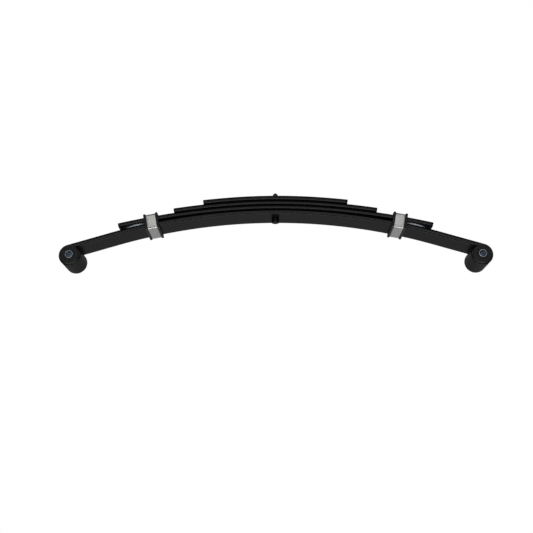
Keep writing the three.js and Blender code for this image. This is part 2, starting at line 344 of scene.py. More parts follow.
# %% Building a finish
class Finish:
    """A material with its Principled shader, read in the piece's own object coordinates."""

    def __init__(self, name, colour, roughness, metallic=0.0, **sockets):
        self.material = bpy.data.materials.new(name)
        self.material.use_nodes = True
        self.tree = self.material.node_tree
        self.shader = self.tree.nodes["Principled BSDF"]
        self.shader.inputs["Base Color"].default_value = (*colour, 1)
        self.shader.inputs["Roughness"].default_value = roughness
        self.shader.inputs["Metallic"].default_value = metallic
        for label, value in sockets.items():
            self.shader.inputs[label.replace("_", " ")].default_value = value
        self.place = self.tree.nodes.new("ShaderNodeTexCoord").outputs["Object"]

    def effect(self, tree, **values):
        """One of the shared effects, with this finish's own values."""
        node = self.tree.nodes.new("ShaderNodeGroup")
        node.node_tree = tree
        self.tree.links.new(self.place, node.inputs["Vector"])
        for label, value in values.items():
            node.inputs[label.replace("_", " ")].default_value = value
        return node.outputs[0]

    def between(self, mask, low, high, target):
        """Runs a number on the shader from low to high along a mask."""
        span = self.tree.nodes.new("ShaderNodeMapRange")
        span.inputs["To Min"].default_value = low
        span.inputs["To Max"].default_value = high
        self.tree.links.new(mask, span.inputs["Value"])
        self.tree.links.new(span.outputs["Result"], self.shader.inputs[target])

    def tint(self, mask, colour, over=None):
        """Mixes a colour in where a mask is set, and returns the mixed colour."""
        mix = self.tree.nodes.new("ShaderNodeMix")
        mix.data_type = "RGBA"
        below, above = mix.inputs[6], mix.inputs[7]
        if over is None:
            below.default_value = self.shader.inputs["Base Color"].default_value
        else:
            self.tree.links.new(over, below)
        above.default_value = (*colour, 1)
        self.tree.links.new(mask, mix.inputs[0])
        self.tree.links.new(mix.outputs[2], self.shader.inputs["Base Color"])
        return mix.outputs[2]

    def relief(self, height, depth, under=None):
        """Adds a bump of a depth in metres, on top of another bump's normal if there is one."""
        bump = self.tree.nodes.new("ShaderNodeBump")
        bump.inputs["Distance"].default_value = depth
        self.tree.links.new(height, bump.inputs["Height"])
        if under is not None:
            self.tree.links.new(under, bump.inputs["Normal"])
        self.tree.links.new(bump.outputs["Normal"], self.shader.inputs["Normal"])
        return bump.outputs["Normal"]


# %% [markdown]
# ### Black paint on spring steel
#
# The bars are dipped or sprayed in thin black paint over mill scale. The paint itself is almost
# pure black, so its colour hardly matters. What matters is a satin gloss that wanders a little, a
# faint ripple as of orange peel, the broad unevenness of the rolled bar beneath, a few pits where
# scale came off before painting, and a breath of dust.

# %% Black paint
DUST = (0.3, 0.29, 0.27)
paint = Finish("black_paint", (0.0015, 0.0016, 0.0019), 0.3, Specular_IOR_Level=0.38)
peel = paint.effect(ripple, Waves_per_metre=700.0)
rolled = paint.effect(ripple, Waves_per_metre=55.0, Roughness=0.6)
pitting = paint.effect(pits, Cells_per_metre=75.0, Share_of_cells=0.12, Radius_in_cells=0.1)
uneven = calculate(paint.tree, "MULTIPLY", rolled, 0.25)
dull = calculate(paint.tree, "ADD", uneven, pitting, clamp=True)
paint.between(dull, 0.2, 0.9, "Roughness")
settled = paint.effect(dust, Amount=0.05)
paint.tint(settled, DUST)
bar_normal = paint.relief(rolled, 0.08 * MM)
peel_normal = paint.relief(peel, 0.018 * MM, bar_normal)
sunk = calculate(paint.tree, "SUBTRACT", 1.0, pitting)
paint.relief(sunk, 0.3 * MM, peel_normal)
print("finish", paint.material.name)

# %% [markdown]
# ### Black oxide on the bolt and nut
#
# The bolt and nut aren't painted: they are steel under a black oxide with an oily half gloss. A
# nearly black surface with an uneven roughness gives that, and short scratches show where a
# spanner has been.

# %% Black oxide
oxide = Finish("black_oxide", (0.004, 0.004, 0.005), 0.34, Specular_IOR_Level=0.25)
handled = oxide.effect(scratches, Stretch=(900.0, 900.0, 120.0), Threshold=0.6)
mottled = oxide.effect(ripple, Waves_per_metre=300.0)
oxide.between(mottled, 0.24, 0.44, "Roughness")
oxide.tint(handled, (0.02, 0.02, 0.021))
oxide.relief(mottled, 0.02 * MM)
print("finish", oxide.material.name)

# %% [markdown]
# ### Bright steel strip
#
# The clips are soft steel strip, bent from a coil. Rolling leaves long fine lines along the strip,
# so the roughness and a very shallow bump change quickly across the strip and slowly along it. The
# strip is half dulled by handling, which the low value for metal stands for, and slightly
# tarnished in soft patches.

# %% Bright strip
bright = Finish("bright_strip", (0.76, 0.76, 0.74), 0.3, metallic=0.5)
drawn_lines = bright.effect(scratches, Stretch=(2600.0, 45.0, 45.0), Threshold=0.5)
stains = bright.effect(ripple, Waves_per_metre=160.0, Roughness=0.7)
bright.between(drawn_lines, 0.17, 0.3, "Roughness")
tarnish = calculate(bright.tree, "MULTIPLY", stains, 0.45)
bright.tint(tarnish, (0.6, 0.6, 0.57))
bright.relief(drawn_lines, 0.01 * MM)
print("finish", bright.material.name)

# %% [markdown]
# ### Zinc plating
#
# The sleeves are cut from drawn tube and plated with bright zinc, which has a cold blue cast and a
# soft cloudiness. The drawing lines run along the tube, which is along Y once it is in its eye.

# %% Zinc plating
zinc = Finish("zinc_plate", (0.62, 0.7, 0.77), 0.26, metallic=1.0)
tube_lines = zinc.effect(scratches, Stretch=(2200.0, 60.0, 2200.0), Threshold=0.52)
clouds = zinc.effect(ripple, Waves_per_metre=130.0, Roughness=0.65)
zinc.between(clouds, 0.2, 0.42, "Roughness")
zinc.tint(calculate(zinc.tree, "MULTIPLY", clouds, 0.5), (0.46, 0.52, 0.6))
zinc.relief(tube_lines, 0.012 * MM)
print("finish", zinc.material.name)

# %% [markdown]
# ### Moulded rubber
#
# Bushes and clip liners are carbon-black rubber. It is a little lighter and duller than the paint,
# with a fine even grain from the mould, a greyish bloom, and dust on what faces up.

# %% Moulded rubber
rubber = Finish("moulded_rubber", (0.013, 0.013, 0.0145), 0.52, Specular_IOR_Level=0.42)
grain = rubber.effect(ripple, Waves_per_metre=1500.0)
bloom = rubber.effect(ripple, Waves_per_metre=90.0, Roughness=0.7)
rubber.between(bloom, 0.42, 0.62, "Roughness")
bloomed = rubber.tint(calculate(rubber.tree, "MULTIPLY", bloom, 0.35), (0.028, 0.028, 0.031))
rubber.tint(rubber.effect(dust, Amount=0.08), DUST, bloomed)
rubber.relief(grain, 0.04 * MM)
print("finish", rubber.material.name)

# %% [markdown]
# ### Pale plastic
#
# The pads that keep the leaf tips from squeaking are moulded in natural nylon: pale, slightly blue
# and glossy. A little light enters it, so it gets a small amount of scattering beneath the skin.

# %% Pale plastic
nylon = Finish(
    "pale_nylon", (0.8, 0.86, 0.96), 0.24, Subsurface_Weight=0.12, Subsurface_Scale=2 * MM
)
flow = nylon.effect(ripple, Waves_per_metre=120.0)
nylon.between(flow, 0.18, 0.34, "Roughness")
nylon.tint(calculate(nylon.tree, "MULTIPLY", flow, 0.3), (0.68, 0.74, 0.85))
nylon.relief(flow, 0.03 * MM)
print("finish", nylon.material.name)

# %% [markdown]
# ## The driving sizes
#
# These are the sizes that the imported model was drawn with. The leaves lie on an arc of one radius.
# The three upper leaves flatten slightly further out, which opens the wedge that the tip pads fill,
# and the main leaf runs straight for its last stretch before it rolls into the eyes.

# %% The driving sizes
GAP = 0.3 * MM
WIDTH = 50.8 * MM
THICK = 7 * MM
EYE_X = 312 * MM
EYE_RADIUS = 16.8 * MM
EYE_BORE = EYE_RADIUS - THICK
ARCH_RADIUS = 872 * MM
ARCH_END = 248.5 * MM
FLATTER_FROM = 65 * MM
FLATTER_RADIUS = 1126 * MM
REACHES = {"second_leaf": 240.5 * MM, "third_leaf": 156 * MM, "short_leaf": 111 * MM}
LEAF_PITCH = THICK + GAP

END_SLOPE = math.asin(ARCH_END / ARCH_RADIUS)
ROLL_MIDDLE = EYE_RADIUS - THICK / 2
STRAIGHT_X = EYE_X + ROLL_MIDDLE * math.sin(END_SLOPE)
STRAIGHT_Z = EYE_RADIUS + ROLL_MIDDLE * math.cos(END_SLOPE)
ARCH_TOP = (
    STRAIGHT_Z
    + (STRAIGHT_X - ARCH_END) * math.tan(END_SLOPE)
    + ARCH_RADIUS * (1 - math.cos(END_SLOPE))
)
ARCH_CENTRE_Z = ARCH_TOP - ARCH_RADIUS
print("middle of the main leaf stands", round(ARCH_TOP / MM, 2), "mm up")

# %% The flatter outer arc
FLATTER_ANGLE = math.asin(FLATTER_FROM / ARCH_RADIUS)
SHIFT = FLATTER_RADIUS - ARCH_RADIUS
FLATTER_X = -SHIFT * math.sin(FLATTER_ANGLE)
FLATTER_Z = ARCH_CENTRE_Z - SHIFT * math.cos(FLATTER_ANGLE)


def flatter_angle_at(x, height):
    """The slope where an upper leaf's line, a height above the main leaf's, reaches x."""
    return math.asin((x - FLATTER_X) / (FLATTER_RADIUS + height))


def on_flatter(angle, height):
    """The point (x, z) on that line."""
    radius = FLATTER_RADIUS + height
    return FLATTER_X + radius * math.sin(angle), FLATTER_Z + radius * math.cos(angle)


print("flatter arc starts at", round(math.degrees(FLATTER_ANGLE), 2), "degrees")

# %% [markdown]
# ## The leaves
#
# A leaf is a flat bar whose narrow edges are crowned, as the mill rolls them. It starts as the
# bar's cross-section: a plane whose short sides are subdivided and pushed out along an arc, and
# whose corners are then bevelled a little. Spinning that section about the centre of an arc sweeps
# the bar along the arc, and extruding it carries the bar on in a straight line, which is just how
# the bar is bent. Each leaf is made as two halves that meet at the centre bolt, because each half
# bends with its own end of the spring.

# %% The bar's section
CROWN_RADIUS = 5.6 * MM
CROWN_EDGE = math.sqrt(CROWN_RADIUS**2 - (THICK / 2) ** 2)
CROWN = CROWN_RADIUS - CROWN_EDGE
CROWN_CUTS = 7
ROUNDING = 0.5 * MM
FLAT_TO = WIDTH / 2 - CROWN - 0.8 * MM
HAIR = 0.01 * MM


def bar_section(name, height):
    """The end of a bar at the middle of the spring, open in edit mode with its face selected."""
    bpy.ops.object.select_all(action="DESELECT")
    bpy.ops.mesh.primitive_plane_add(size=1, location=(0, 0, height), rotation=(0, math.pi / 2, 0))
    bar = bpy.context.object
    bar.name = name
    bar.scale = (THICK, WIDTH - 2 * CROWN, 1)
    settle(bar)
    edit(bar)
    side = WIDTH / 2 - CROWN - GAP
    pick(bar, "EDGE", lambda e: all(abs(v.co.y) > side for v in e.verts))
    bpy.ops.mesh.subdivide(number_cuts=CROWN_CUTS)
    bpy.ops.mesh.select_all(action="SELECT")
    bpy.ops.mesh.dissolve_faces()
    for vertex in bmesh.from_edit_mesh(bar.data).verts:
        off_middle = vertex.co.z - height
        bulge = math.sqrt(CROWN_RADIUS**2 - off_middle**2) - CROWN_EDGE
        vertex.co.y += math.copysign(bulge, vertex.co.y)
    pick(bar, "VERT", lambda v: abs(v.co.z - height) > THICK / 2 - HAIR)
    bpy.ops.mesh.bevel(affect="VERTICES", offset=ROUNDING, segments=3)
    bpy.ops.mesh.select_all(action="SELECT")
    return bar


def spin_on(angle, centre, facet=math.radians(0.55)):
    """Sweeps the selected face on round an arc that curves down towards the eye."""
    steps = max(1, math.ceil(angle / facet))
    bpy.ops.mesh.spin(steps=steps, angle=-angle, center=(centre[0], 0, centre[1]), axis=(0, 1, 0))


def finish_bar(bar):
    """Keeps the wide faces flat up to their rims, turns all faces outwards and smooths the edges."""
    for side in (-1, 1):
        bpy.ops.mesh.select_all(action="SELECT")
        bpy.ops.mesh.bisect(plane_co=(0, side * FLAT_TO, 0), plane_no=(0, 1, 0))
    bpy.ops.mesh.select_all(action="SELECT")
    bpy.ops.mesh.normals_make_consistent(inside=False)
    close()
    return smooth(bar)


def soften_end():
    """Breaks the sharp rim of the sawn end, which is the face that is still selected."""
    bpy.ops.mesh.bevel(affect="EDGES", offset=ROUNDING, segments=2)


print("bar section", WIDTH / MM, "by", THICK / MM, "mm")

# %% Drilling a hole
def rod(name, radius, foot, length, lean=0.0, sides=48):
    """A plain round rod for cutting with, its foot at a point and leaning from Z towards X."""
    direction = Vector((math.sin(lean), 0, math.cos(lean)))
    centre = Vector(foot) + direction * (length / 2)
    bpy.ops.object.select_all(action="DESELECT")
    bpy.ops.mesh.primitive_cylinder_add(
        vertices=sides, radius=radius, depth=length, location=centre, rotation=(0, lean, 0)
    )
    cutter = bpy.context.object
    cutter.name = name
    return settle(cutter)


def cut(piece, cutter, operation="DIFFERENCE"):
    """Cuts, joins or trims a piece with another, which is used up."""
    use(piece, "BOOLEAN", operation=operation, object=cutter, solver="EXACT")
    bpy.data.objects.remove(cutter)
    return piece


BOLT_HOLE = 4.3 * MM
PEG_HOLE = 4.3 * MM
print("holes of", 2 * BOLT_HOLE / MM, "and", 2 * PEG_HOLE / MM, "mm")

# %% The three upper leaves
PAD_X = 213 * MM
PAD_ANGLE = flatter_angle_at(PAD_X, LEAF_PITCH)
PEG_X, PEG_Z = on_flatter(PAD_ANGLE, LEAF_PITCH - THICK / 2)
rear_halves = {}
for index, (leaf, reach) in enumerate(REACHES.items(), 1):
    height = index * LEAF_PITCH
    half = bar_section(f"{leaf}_rear", ARCH_TOP + height)
    spin_on(FLATTER_ANGLE, (0, ARCH_CENTRE_Z))
    spin_on(flatter_angle_at(reach, height) - FLATTER_ANGLE, (FLATTER_X, FLATTER_Z))
    soften_end()
    finish_bar(half)
    cut(half, rod("drill", BOLT_HOLE, (0, 0, ARCH_TOP), 60 * MM))
    rear_halves[leaf] = half
cut(
    rear_halves["second_leaf"],
    rod("peg_drill", PEG_HOLE, (PEG_X, 0, PEG_Z - 3 * MM), 14 * MM, PAD_ANGLE),
)
for half in rear_halves.values():
    report(smooth(half))

# %% [markdown]
# ### The main leaf and its eyes
#
# The main leaf goes on past the arch, straight, and then round the eye. The rolled metal closes
# against the underside of the leaf, so its last stretch is sheared to a wedge: the roll's faces
# near the tip are cut along a plane just under the leaf.

# %% The main leaf
ROLL_TIP = math.radians(330)
ROLL_FACET = math.radians(6)
TAPER_FROM = math.radians(285)
main = bar_section("main_leaf_rear", ARCH_TOP)
spin_on(END_SLOPE, (0, ARCH_CENTRE_Z))
along = Vector((math.cos(END_SLOPE), 0, -math.sin(END_SLOPE)))
straight = (STRAIGHT_X - ARCH_END) / math.cos(END_SLOPE)
bpy.ops.mesh.extrude_region_move(TRANSFORM_OT_translate={"value": along * straight})
spin_on(ROLL_TIP, (EYE_X, EYE_RADIUS), ROLL_FACET)
print("straight stretch", round(straight / MM, 1), "mm")

# %% The sheared tip
square = Vector((math.sin(END_SLOPE), 0, math.cos(END_SLOPE)))
eye_centre = Vector((EYE_X, 0, EYE_RADIUS))


def turn_round_eye(place):
    """How far round the roll a point lies, from where the roll starts."""
    arm = place - eye_centre
    angle = math.atan2(arm.dot(along), arm.dot(square))
    return angle % (2 * math.pi)


def near_tip(face):
    """Whether a face of the roll lies close to its tip."""
    place = face.calc_center_median()
    place.y = 0
    close_to_eye = (place - eye_centre).length < EYE_RADIUS + MM
    return close_to_eye and TAPER_FROM < turn_round_eye(place) < ROLL_TIP + 0.01


print("tip faces", pick(main, "FACE", near_tip))
bpy.ops.mesh.bisect(
    plane_co=eye_centre + square * (EYE_BORE - GAP),
    plane_no=square,
    clear_outer=True,
    use_fill=True,
)
finish_bar(main)
cut(main, rod("drill", BOLT_HOLE, (0, 0, ARCH_TOP - 10 * MM), 60 * MM))
rear_halves["main_leaf"] = smooth(main)
report(main)

# %% [markdown]
# ### Turning a rear piece into a front one
#
# The spring is the same both ways round. A front piece is a copy of the rear one, with its own
# mesh, turned half a turn about the upright axis. Turning keeps the faces outwards, where a mirror
# would turn them inside out.

# %% Front copies of the leaves
HALF_TURN = Matrix.Rotation(math.pi, 4, "Z")


def front_copy(piece, name):
    """A copy of a rear piece, turned to the front end."""
    copy = piece.copy()
    copy.data = piece.data.copy()
    copy.name = copy.data.name = name
    bpy.context.collection.objects.link(copy)
    copy.matrix_world = HALF_TURN
    return settle(copy)


def dress(piece, finish):
    """Gives a piece its finish."""
    piece.data.materials.clear()
    piece.data.materials.append(finish.material)
    return piece


for leaf, half in rear_halves.items():
    other = front_copy(half, f"{leaf}_front")
    for end_name, sign, piece in (("rear", 1, half), ("front", -1, other)):
        dress(piece, paint)
        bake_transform(piece)
        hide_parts(leaf)
print("leaf halves", 2 * len(rear_halves))

# %% [markdown]
# ## Turned pieces
#
# The bolt, rivets, sleeves and bushes are round, so they are made as on a lathe. A circle is
# extruded and scaled ring by ring along a profile of radius and height. A solid piece starts from
# a filled circle. A piece with a bore starts from a bare ring, and its last ring is welded to its
# first.

# %% The lathe
WELD = 0.001 * MM


def turned(name, profile, sides=64, bored=False):
    """A piece of revolution about Z from (radius, height) pairs in metres."""
    (radius, height), *rest = profile
    bpy.ops.object.select_all(action="DESELECT")
    bpy.ops.mesh.primitive_circle_add(
        vertices=sides,
        radius=radius,
        location=(0, 0, height),
        fill_type="NOTHING" if bored else "NGON",
    )
    piece = bpy.context.object
    piece.name = name
    settle(piece)
    edit(piece)
    bpy.ops.mesh.select_all(action="SELECT")
    extrude = bpy.ops.mesh.extrude_edges_move if bored else bpy.ops.mesh.extrude_region_move
    for next_radius, next_height in rest:
        extrude(TRANSFORM_OT_translate={"value": (0, 0, next_height - height)})
        grow = next_radius / radius
        bpy.ops.transform.resize(value=(grow, grow, 1), center_override=(0, 0, next_height))
        radius, height = next_radius, next_height
    bpy.ops.mesh.select_all(action="SELECT")
    bpy.ops.mesh.remove_doubles(threshold=WELD)
    bpy.ops.mesh.normals_make_consistent(inside=False)
    close()
    return smooth(piece)


def quarter(centre, radius, begin, finish, steps=5):
    """Points of an arc in the profile plane, with angles in degrees from the radius axis."""
    points = []
    for step in range(steps + 1):
        angle = math.radians(begin + (finish - begin) * step / steps)
        points.append(
            (centre[0] + radius * math.cos(angle), centre[1] + radius * math.sin(angle))
        )
    return points


print("a quarter arc has", len(quarter((0, 0), 1, 0, 90)), "points")

# %% [markdown]
# ### The centre bolt
#
# The bolt's round head hangs under the main leaf, with a domed foot that finds its hole in the
# axle seat. The thread is a real helix: a small wedge swept up the shank by a Screw modifier,
# joined to the shank, and trimmed by the bolt's pointed outline.

# %% The bolt's blank
BOLT_RADIUS = 4 * MM
THREAD_PITCH = 1.25 * MM
THREAD_DEPTH = 0.7 * MM
RUN_OUT = 0.6 * MM
POINT = 0.9 * MM
CORE_RADIUS = BOLT_RADIUS - THREAD_DEPTH
HEAD_RADIUS = 6 * MM
HEAD_TOP = ARCH_TOP - THICK / 2 - GAP
HEAD_FOOT = HEAD_TOP - 6.6 * MM
PACK_TOP = ARCH_TOP + len(REACHES) * LEAF_PITCH + THICK / 2
BOLT_TIP = PACK_TOP + 11.6 * MM
THREAD_FROM = PACK_TOP - 4 * MM

bolt = turned(
    "centre_bolt_visual",
    [(1 * MM, HEAD_FOOT - 1.2 * MM), (3.5 * MM, HEAD_FOOT - 1.15 * MM)]
    + quarter((4.4 * MM, HEAD_FOOT + 0.4 * MM), 1.5 * MM, -80, -10)
    + [(HEAD_RADIUS, HEAD_FOOT + 0.9 * MM), (HEAD_RADIUS, HEAD_TOP - 0.3 * MM)]
    + [(HEAD_RADIUS - 0.3 * MM, HEAD_TOP), (BOLT_RADIUS, HEAD_TOP)]
    + [(BOLT_RADIUS, THREAD_FROM), (CORE_RADIUS, THREAD_FROM + RUN_OUT)]
    + [(CORE_RADIUS, BOLT_TIP - POINT), (CORE_RADIUS - POINT, BOLT_TIP)],
)
report(bolt)

# %% The thread
TURN_STEPS = 36
TURNS = math.floor((BOLT_TIP - THREAD_FROM - MM) / THREAD_PITCH)
bpy.ops.object.select_all(action="DESELECT")
bpy.ops.mesh.primitive_circle_add(
    vertices=4, radius=1, location=(0, 0, 0), rotation=(math.pi / 2, 0, 0), fill_type="NOTHING"
)
ridge = bpy.context.object
settle(ridge)
edit(ridge)
FOOT_IN, FOOT_HALF, CREST_HALF = 0.15 * MM, 0.46 * THREAD_PITCH, 0.07 * THREAD_PITCH
wedge = [
    (-FOOT_IN, FOOT_HALF),
    (-FOOT_IN, -FOOT_HALF),
    (THREAD_DEPTH, -CREST_HALF),
    (THREAD_DEPTH, CREST_HALF),
]
corners = bmesh.from_edit_mesh(ridge.data).verts
corners.ensure_lookup_table()
for corner, (out, up) in zip(corners, wedge):
    corner.co = (CORE_RADIUS + out, 0, up)
bmesh.update_edit_mesh(ridge.data)
close()
use(
    ridge,
    "SCREW",
    axis="Z",
    angle=2 * math.pi,
    screw_offset=THREAD_PITCH,
    iterations=TURNS,
    steps=TURN_STEPS,
    render_steps=TURN_STEPS,
)
edit(ridge)
for lowest_or_highest in (min, max):
    level = lowest_or_highest(v.co.z for v in bmesh.from_edit_mesh(ridge.data).verts)
    pick(ridge, "EDGE", lambda e: e.is_boundary and abs(e.verts[0].co.z - level) < THREAD_PITCH)
    bpy.ops.mesh.edge_face_add()
bpy.ops.mesh.select_all(action="SELECT")
bpy.ops.mesh.normals_make_consistent(inside=False)
close()
ridge.location.z = THREAD_FROM + RUN_OUT
settle(ridge)
print("thread turns", TURNS, "open", open_edges(ridge))

# %% Joining and pointing the thread
cut(bolt, ridge, "UNION")
CREST = BOLT_RADIUS - 0.02 * MM
outline = turned(
    "outline",
    [(HEAD_RADIUS + MM, HEAD_FOOT - 2 * MM), (HEAD_RADIUS + MM, PACK_TOP)]
    + [(CREST, PACK_TOP + HAIR), (CREST, BOLT_TIP - 2.2 * MM)]
    + [(2.1 * MM, BOLT_TIP - HAIR)],
)
cut(bolt, outline, "INTERSECT")
report(smooth(bolt))
dress(bolt, oxide)
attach(bolt, "leaf_pack")
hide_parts("centre_bolt")

# %% [markdown]
# ### The nut
#
# A nut is a six-sided bar whose corners have been turned off at a slant, which leaves the curved
# edges on its flats. So a hexagon is trimmed by a turned double cone, and bored.

# %% The nut
NUT_FLATS = 13 * MM
NUT_CORNER = NUT_FLATS / math.sqrt(3)
NUT_FACE = 6.2 * MM
NUT_BORE = 4.05 * MM
COUNTERSINK = 5 * MM
NUT_FOOT = PACK_TOP + GAP
NUT_TOP = NUT_FOOT + 6.5 * MM
nut = rod("centre_nut_visual", NUT_CORNER, (0, 0, NUT_FOOT), NUT_TOP - NUT_FOOT, sides=6)
barrel = turned(
    "barrel",
    [(NUT_FACE, NUT_FOOT - HAIR), (NUT_CORNER + 0.2 * MM, NUT_FOOT + 0.9 * MM)]
    + [(NUT_CORNER + 0.2 * MM, NUT_TOP - 0.9 * MM), (NUT_FACE, NUT_TOP + HAIR)],
    sides=72,
)
cut(nut, barrel, "INTERSECT")
bore = turned(
    "bore",
    [(COUNTERSINK, NUT_FOOT - 0.5 * MM), (NUT_BORE, NUT_FOOT + 0.6 * MM)]
    + [(NUT_BORE, NUT_TOP - 0.6 * MM), (COUNTERSINK, NUT_TOP + 0.5 * MM)],
)
cut(nut, bore)
bevel_corners(nut, 0.15 * MM, 2, 40)
report(smooth(nut))
dress(nut, oxide)
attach(nut, "leaf_pack")
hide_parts("centre_nut")

# %% [markdown]
# ## The rebound clips
#
# A clip keeps the second leaf on the main leaf when the spring unloads. It is drawn about its own
# centre, square to the world, and tilted into place at the end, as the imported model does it.

# %% The clip's sizes
CLIP_X = 189.5 * MM
BAND_WIDTH = 14.4 * MM
BAND_THICK = 1.5 * MM
LINER_WIDTH = 21.8 * MM
LINER_THICK = 1 * MM
LIP_PROUD = 1.4 * MM
LINER_CORNER = 0.5 * MM
LAP = 12 * MM

CLIP_TILT = flatter_angle_at(CLIP_X, LEAF_PITCH)
main_slope = math.asin(CLIP_X / ARCH_RADIUS)
clip_foot = ARCH_CENTRE_Z + (ARCH_RADIUS - THICK / 2) * math.cos(main_slope)
clip_top = on_flatter(CLIP_TILT, LEAF_PITCH + THICK / 2)[1]
CLIP_Z = (clip_foot + clip_top) / 2
HALF_Y = WIDTH / 2 + GAP
HALF_Z = (clip_top - clip_foot) / 2 + LINER_WIDTH / 2 * (main_slope - CLIP_TILT) + GAP
print("clip opening", round(2 * HALF_Y / MM, 1), "by", round(2 * HALF_Z / MM, 1), "mm")

# %% Wrapping a strip round the leaves
QUARTER = math.pi / 2


def strip_section(name, width, thick, y, z):
    """The end of a strip, facing along Y, open in edit mode with its face selected."""
    bpy.ops.object.select_all(action="DESELECT")
    bpy.ops.mesh.primitive_plane_add(size=1, location=(0, y, z), rotation=(QUARTER, 0, 0))
    strip = bpy.context.object
    strip.name = name
    strip.scale = (width, thick, 1)
    settle(strip)
    edit(strip)
    bpy.ops.mesh.select_all(action="SELECT")
    return strip


def run(y, z):
    """Carries the selected end of a strip on by a straight step."""
    bpy.ops.mesh.extrude_region_move(TRANSFORM_OT_translate={"value": (0, y, z)})


def corner_turn(y, z, steps=8):
    """Bends the strip a quarter turn about a corner's centre."""
    bpy.ops.mesh.spin(steps=steps, angle=QUARTER, center=(0, y, z), axis=(1, 0, 0))


def wrap(start_y, corner_y, corner_z):
    """Runs a strip from its start on the top once round, to the end of the last corner."""
    run(corner_y - start_y, 0)
    corner_turn(corner_y, corner_z)
    run(0, -2 * corner_z)
    corner_turn(corner_y, -corner_z)
    run(-2 * corner_y, 0)
    corner_turn(-corner_y, -corner_z)
    run(0, 2 * corner_z)
    corner_turn(-corner_y, corner_z)


CORNER_Y = HALF_Y - LINER_CORNER
CORNER_Z = HALF_Z - LINER_CORNER
print("corner centres", round(CORNER_Y / MM, 2), round(CORNER_Z / MM, 2), "mm out")

# %% [markdown]
# ### The steel band
#
# The band is one length of strip. It starts on the top, goes round the liner, steps up over its
# own start and ends in a lap. So its section is carried round by straight runs and quarter turns,
# as a bending jig would do it. The lap is then drilled for its rivet, and the sharp sheared edges
# are broken by a small bevel.

# %% The steel band
BAND_MIDDLE = LINER_THICK + GAP + BAND_THICK / 2
BAND_Z = HALF_Z + BAND_MIDDLE
JOGGLE_FROM, JOGGLE_TO = 4.5 * MM, 1.5 * MM
RIVET_RADIUS = 2 * MM

band = strip_section("rear_clip_band_visual", BAND_WIDTH, BAND_THICK, -LAP, BAND_Z)
wrap(-LAP, CORNER_Y, CORNER_Z)
run(CORNER_Y - LAP - JOGGLE_FROM, 0)
run(JOGGLE_FROM - JOGGLE_TO, BAND_THICK + GAP)
run(2 * LAP + JOGGLE_TO, 0)
bpy.ops.mesh.select_all(action="SELECT")
bpy.ops.mesh.normals_make_consistent(inside=False)
close()
cut(band, rod("drill", RIVET_RADIUS + 0.1 * MM, (0, 0, HALF_Z), 12 * MM))
bevel_corners(band, 0.25 * MM, 2, 50)
report(smooth(band))

# %% [markdown]
# ### The rubber liner
#
# The liner is a channel that goes right round, with a lip on each side that keeps the band in
# place and the leaves from rattling. A closed hoop is wrapped first. Two cuts mark where the lips
# begin, and their outer faces are then pulled out of the hoop.

# %% The rubber liner
LIP_FROM = BAND_WIDTH / 2 + GAP
LIP_HEIGHT = GAP + BAND_THICK + LIP_PROUD
RIVET_HEAD = 4 * MM

liner = strip_section(
    "rear_clip_liner_visual", LINER_WIDTH, LINER_THICK, 0, HALF_Z + LINER_THICK / 2
)
wrap(0, CORNER_Y, CORNER_Z)
run(CORNER_Y, 0)
pick(liner, "FACE", lambda f: abs(f.normal.y) > 0.9 and abs(f.calc_center_median().y) < 0.1 * MM)
bpy.ops.mesh.delete(type="FACE")
bpy.ops.mesh.select_all(action="SELECT")
bpy.ops.mesh.remove_doubles(threshold=WELD)
bpy.ops.mesh.normals_make_consistent(inside=False)
for side in (-1, 1):
    bpy.ops.mesh.select_all(action="SELECT")
    bpy.ops.mesh.bisect(plane_co=(side * LIP_FROM, 0, 0), plane_no=(1, 0, 0))


def outside_of_hoop(face):
    """Whether a face is on the outer side of the hoop and under one of its lips."""
    place = face.calc_center_median()
    outwards = place.y * face.normal.y + place.z * face.normal.z > 0
    return abs(face.normal.x) < 0.1 and outwards and abs(place.x) > LIP_FROM


print("faces under the lips", pick(liner, "FACE", outside_of_hoop))
bpy.ops.mesh.extrude_region_shrink_fatten(
    TRANSFORM_OT_shrink_fatten={"value": LIP_HEIGHT, "use_even_offset": True}
)
close()
bevel_corners(liner, 0.55 * MM, 3, 50)
cut(liner, rod("pocket", RIVET_HEAD + 0.1 * MM, (0, 0, HALF_Z - 2 * MM), 8 * MM))
report(smooth(liner))

# %% [markdown]
# ### The rivet
#
# A rivet closes the lap. Its flat inner head lies in a pocket of the liner, and its outer end has
# been hammered to a low dome with a slightly mushroomed rim.

# %% The rivet
INNER_TOP = HALF_Z + LINER_THICK + 0.05 * MM
INNER_FOOT = INNER_TOP - 0.7 * MM
INNER_RADIUS = 3.9 * MM
RIVET_OVER = BAND_Z + BAND_THICK * 1.5 + 1.3 * GAP
dome = [(3.7, 0), (3.95, 0.35), (3.6, 0.9), (2.8, 1.35), (1.7, 1.65), (0.5, 1.78)]
rivet = turned(
    "rear_clip_rivet_visual",
    [(INNER_RADIUS - 0.3 * MM, INNER_FOOT), (INNER_RADIUS, INNER_FOOT + 0.2 * MM)]
    + [(INNER_RADIUS, INNER_TOP), (RIVET_RADIUS, INNER_TOP), (RIVET_RADIUS, RIVET_OVER)]
    + [(radius * MM, RIVET_OVER + height * MM) for radius, height in dome],
    sides=40,
)
report(rivet)

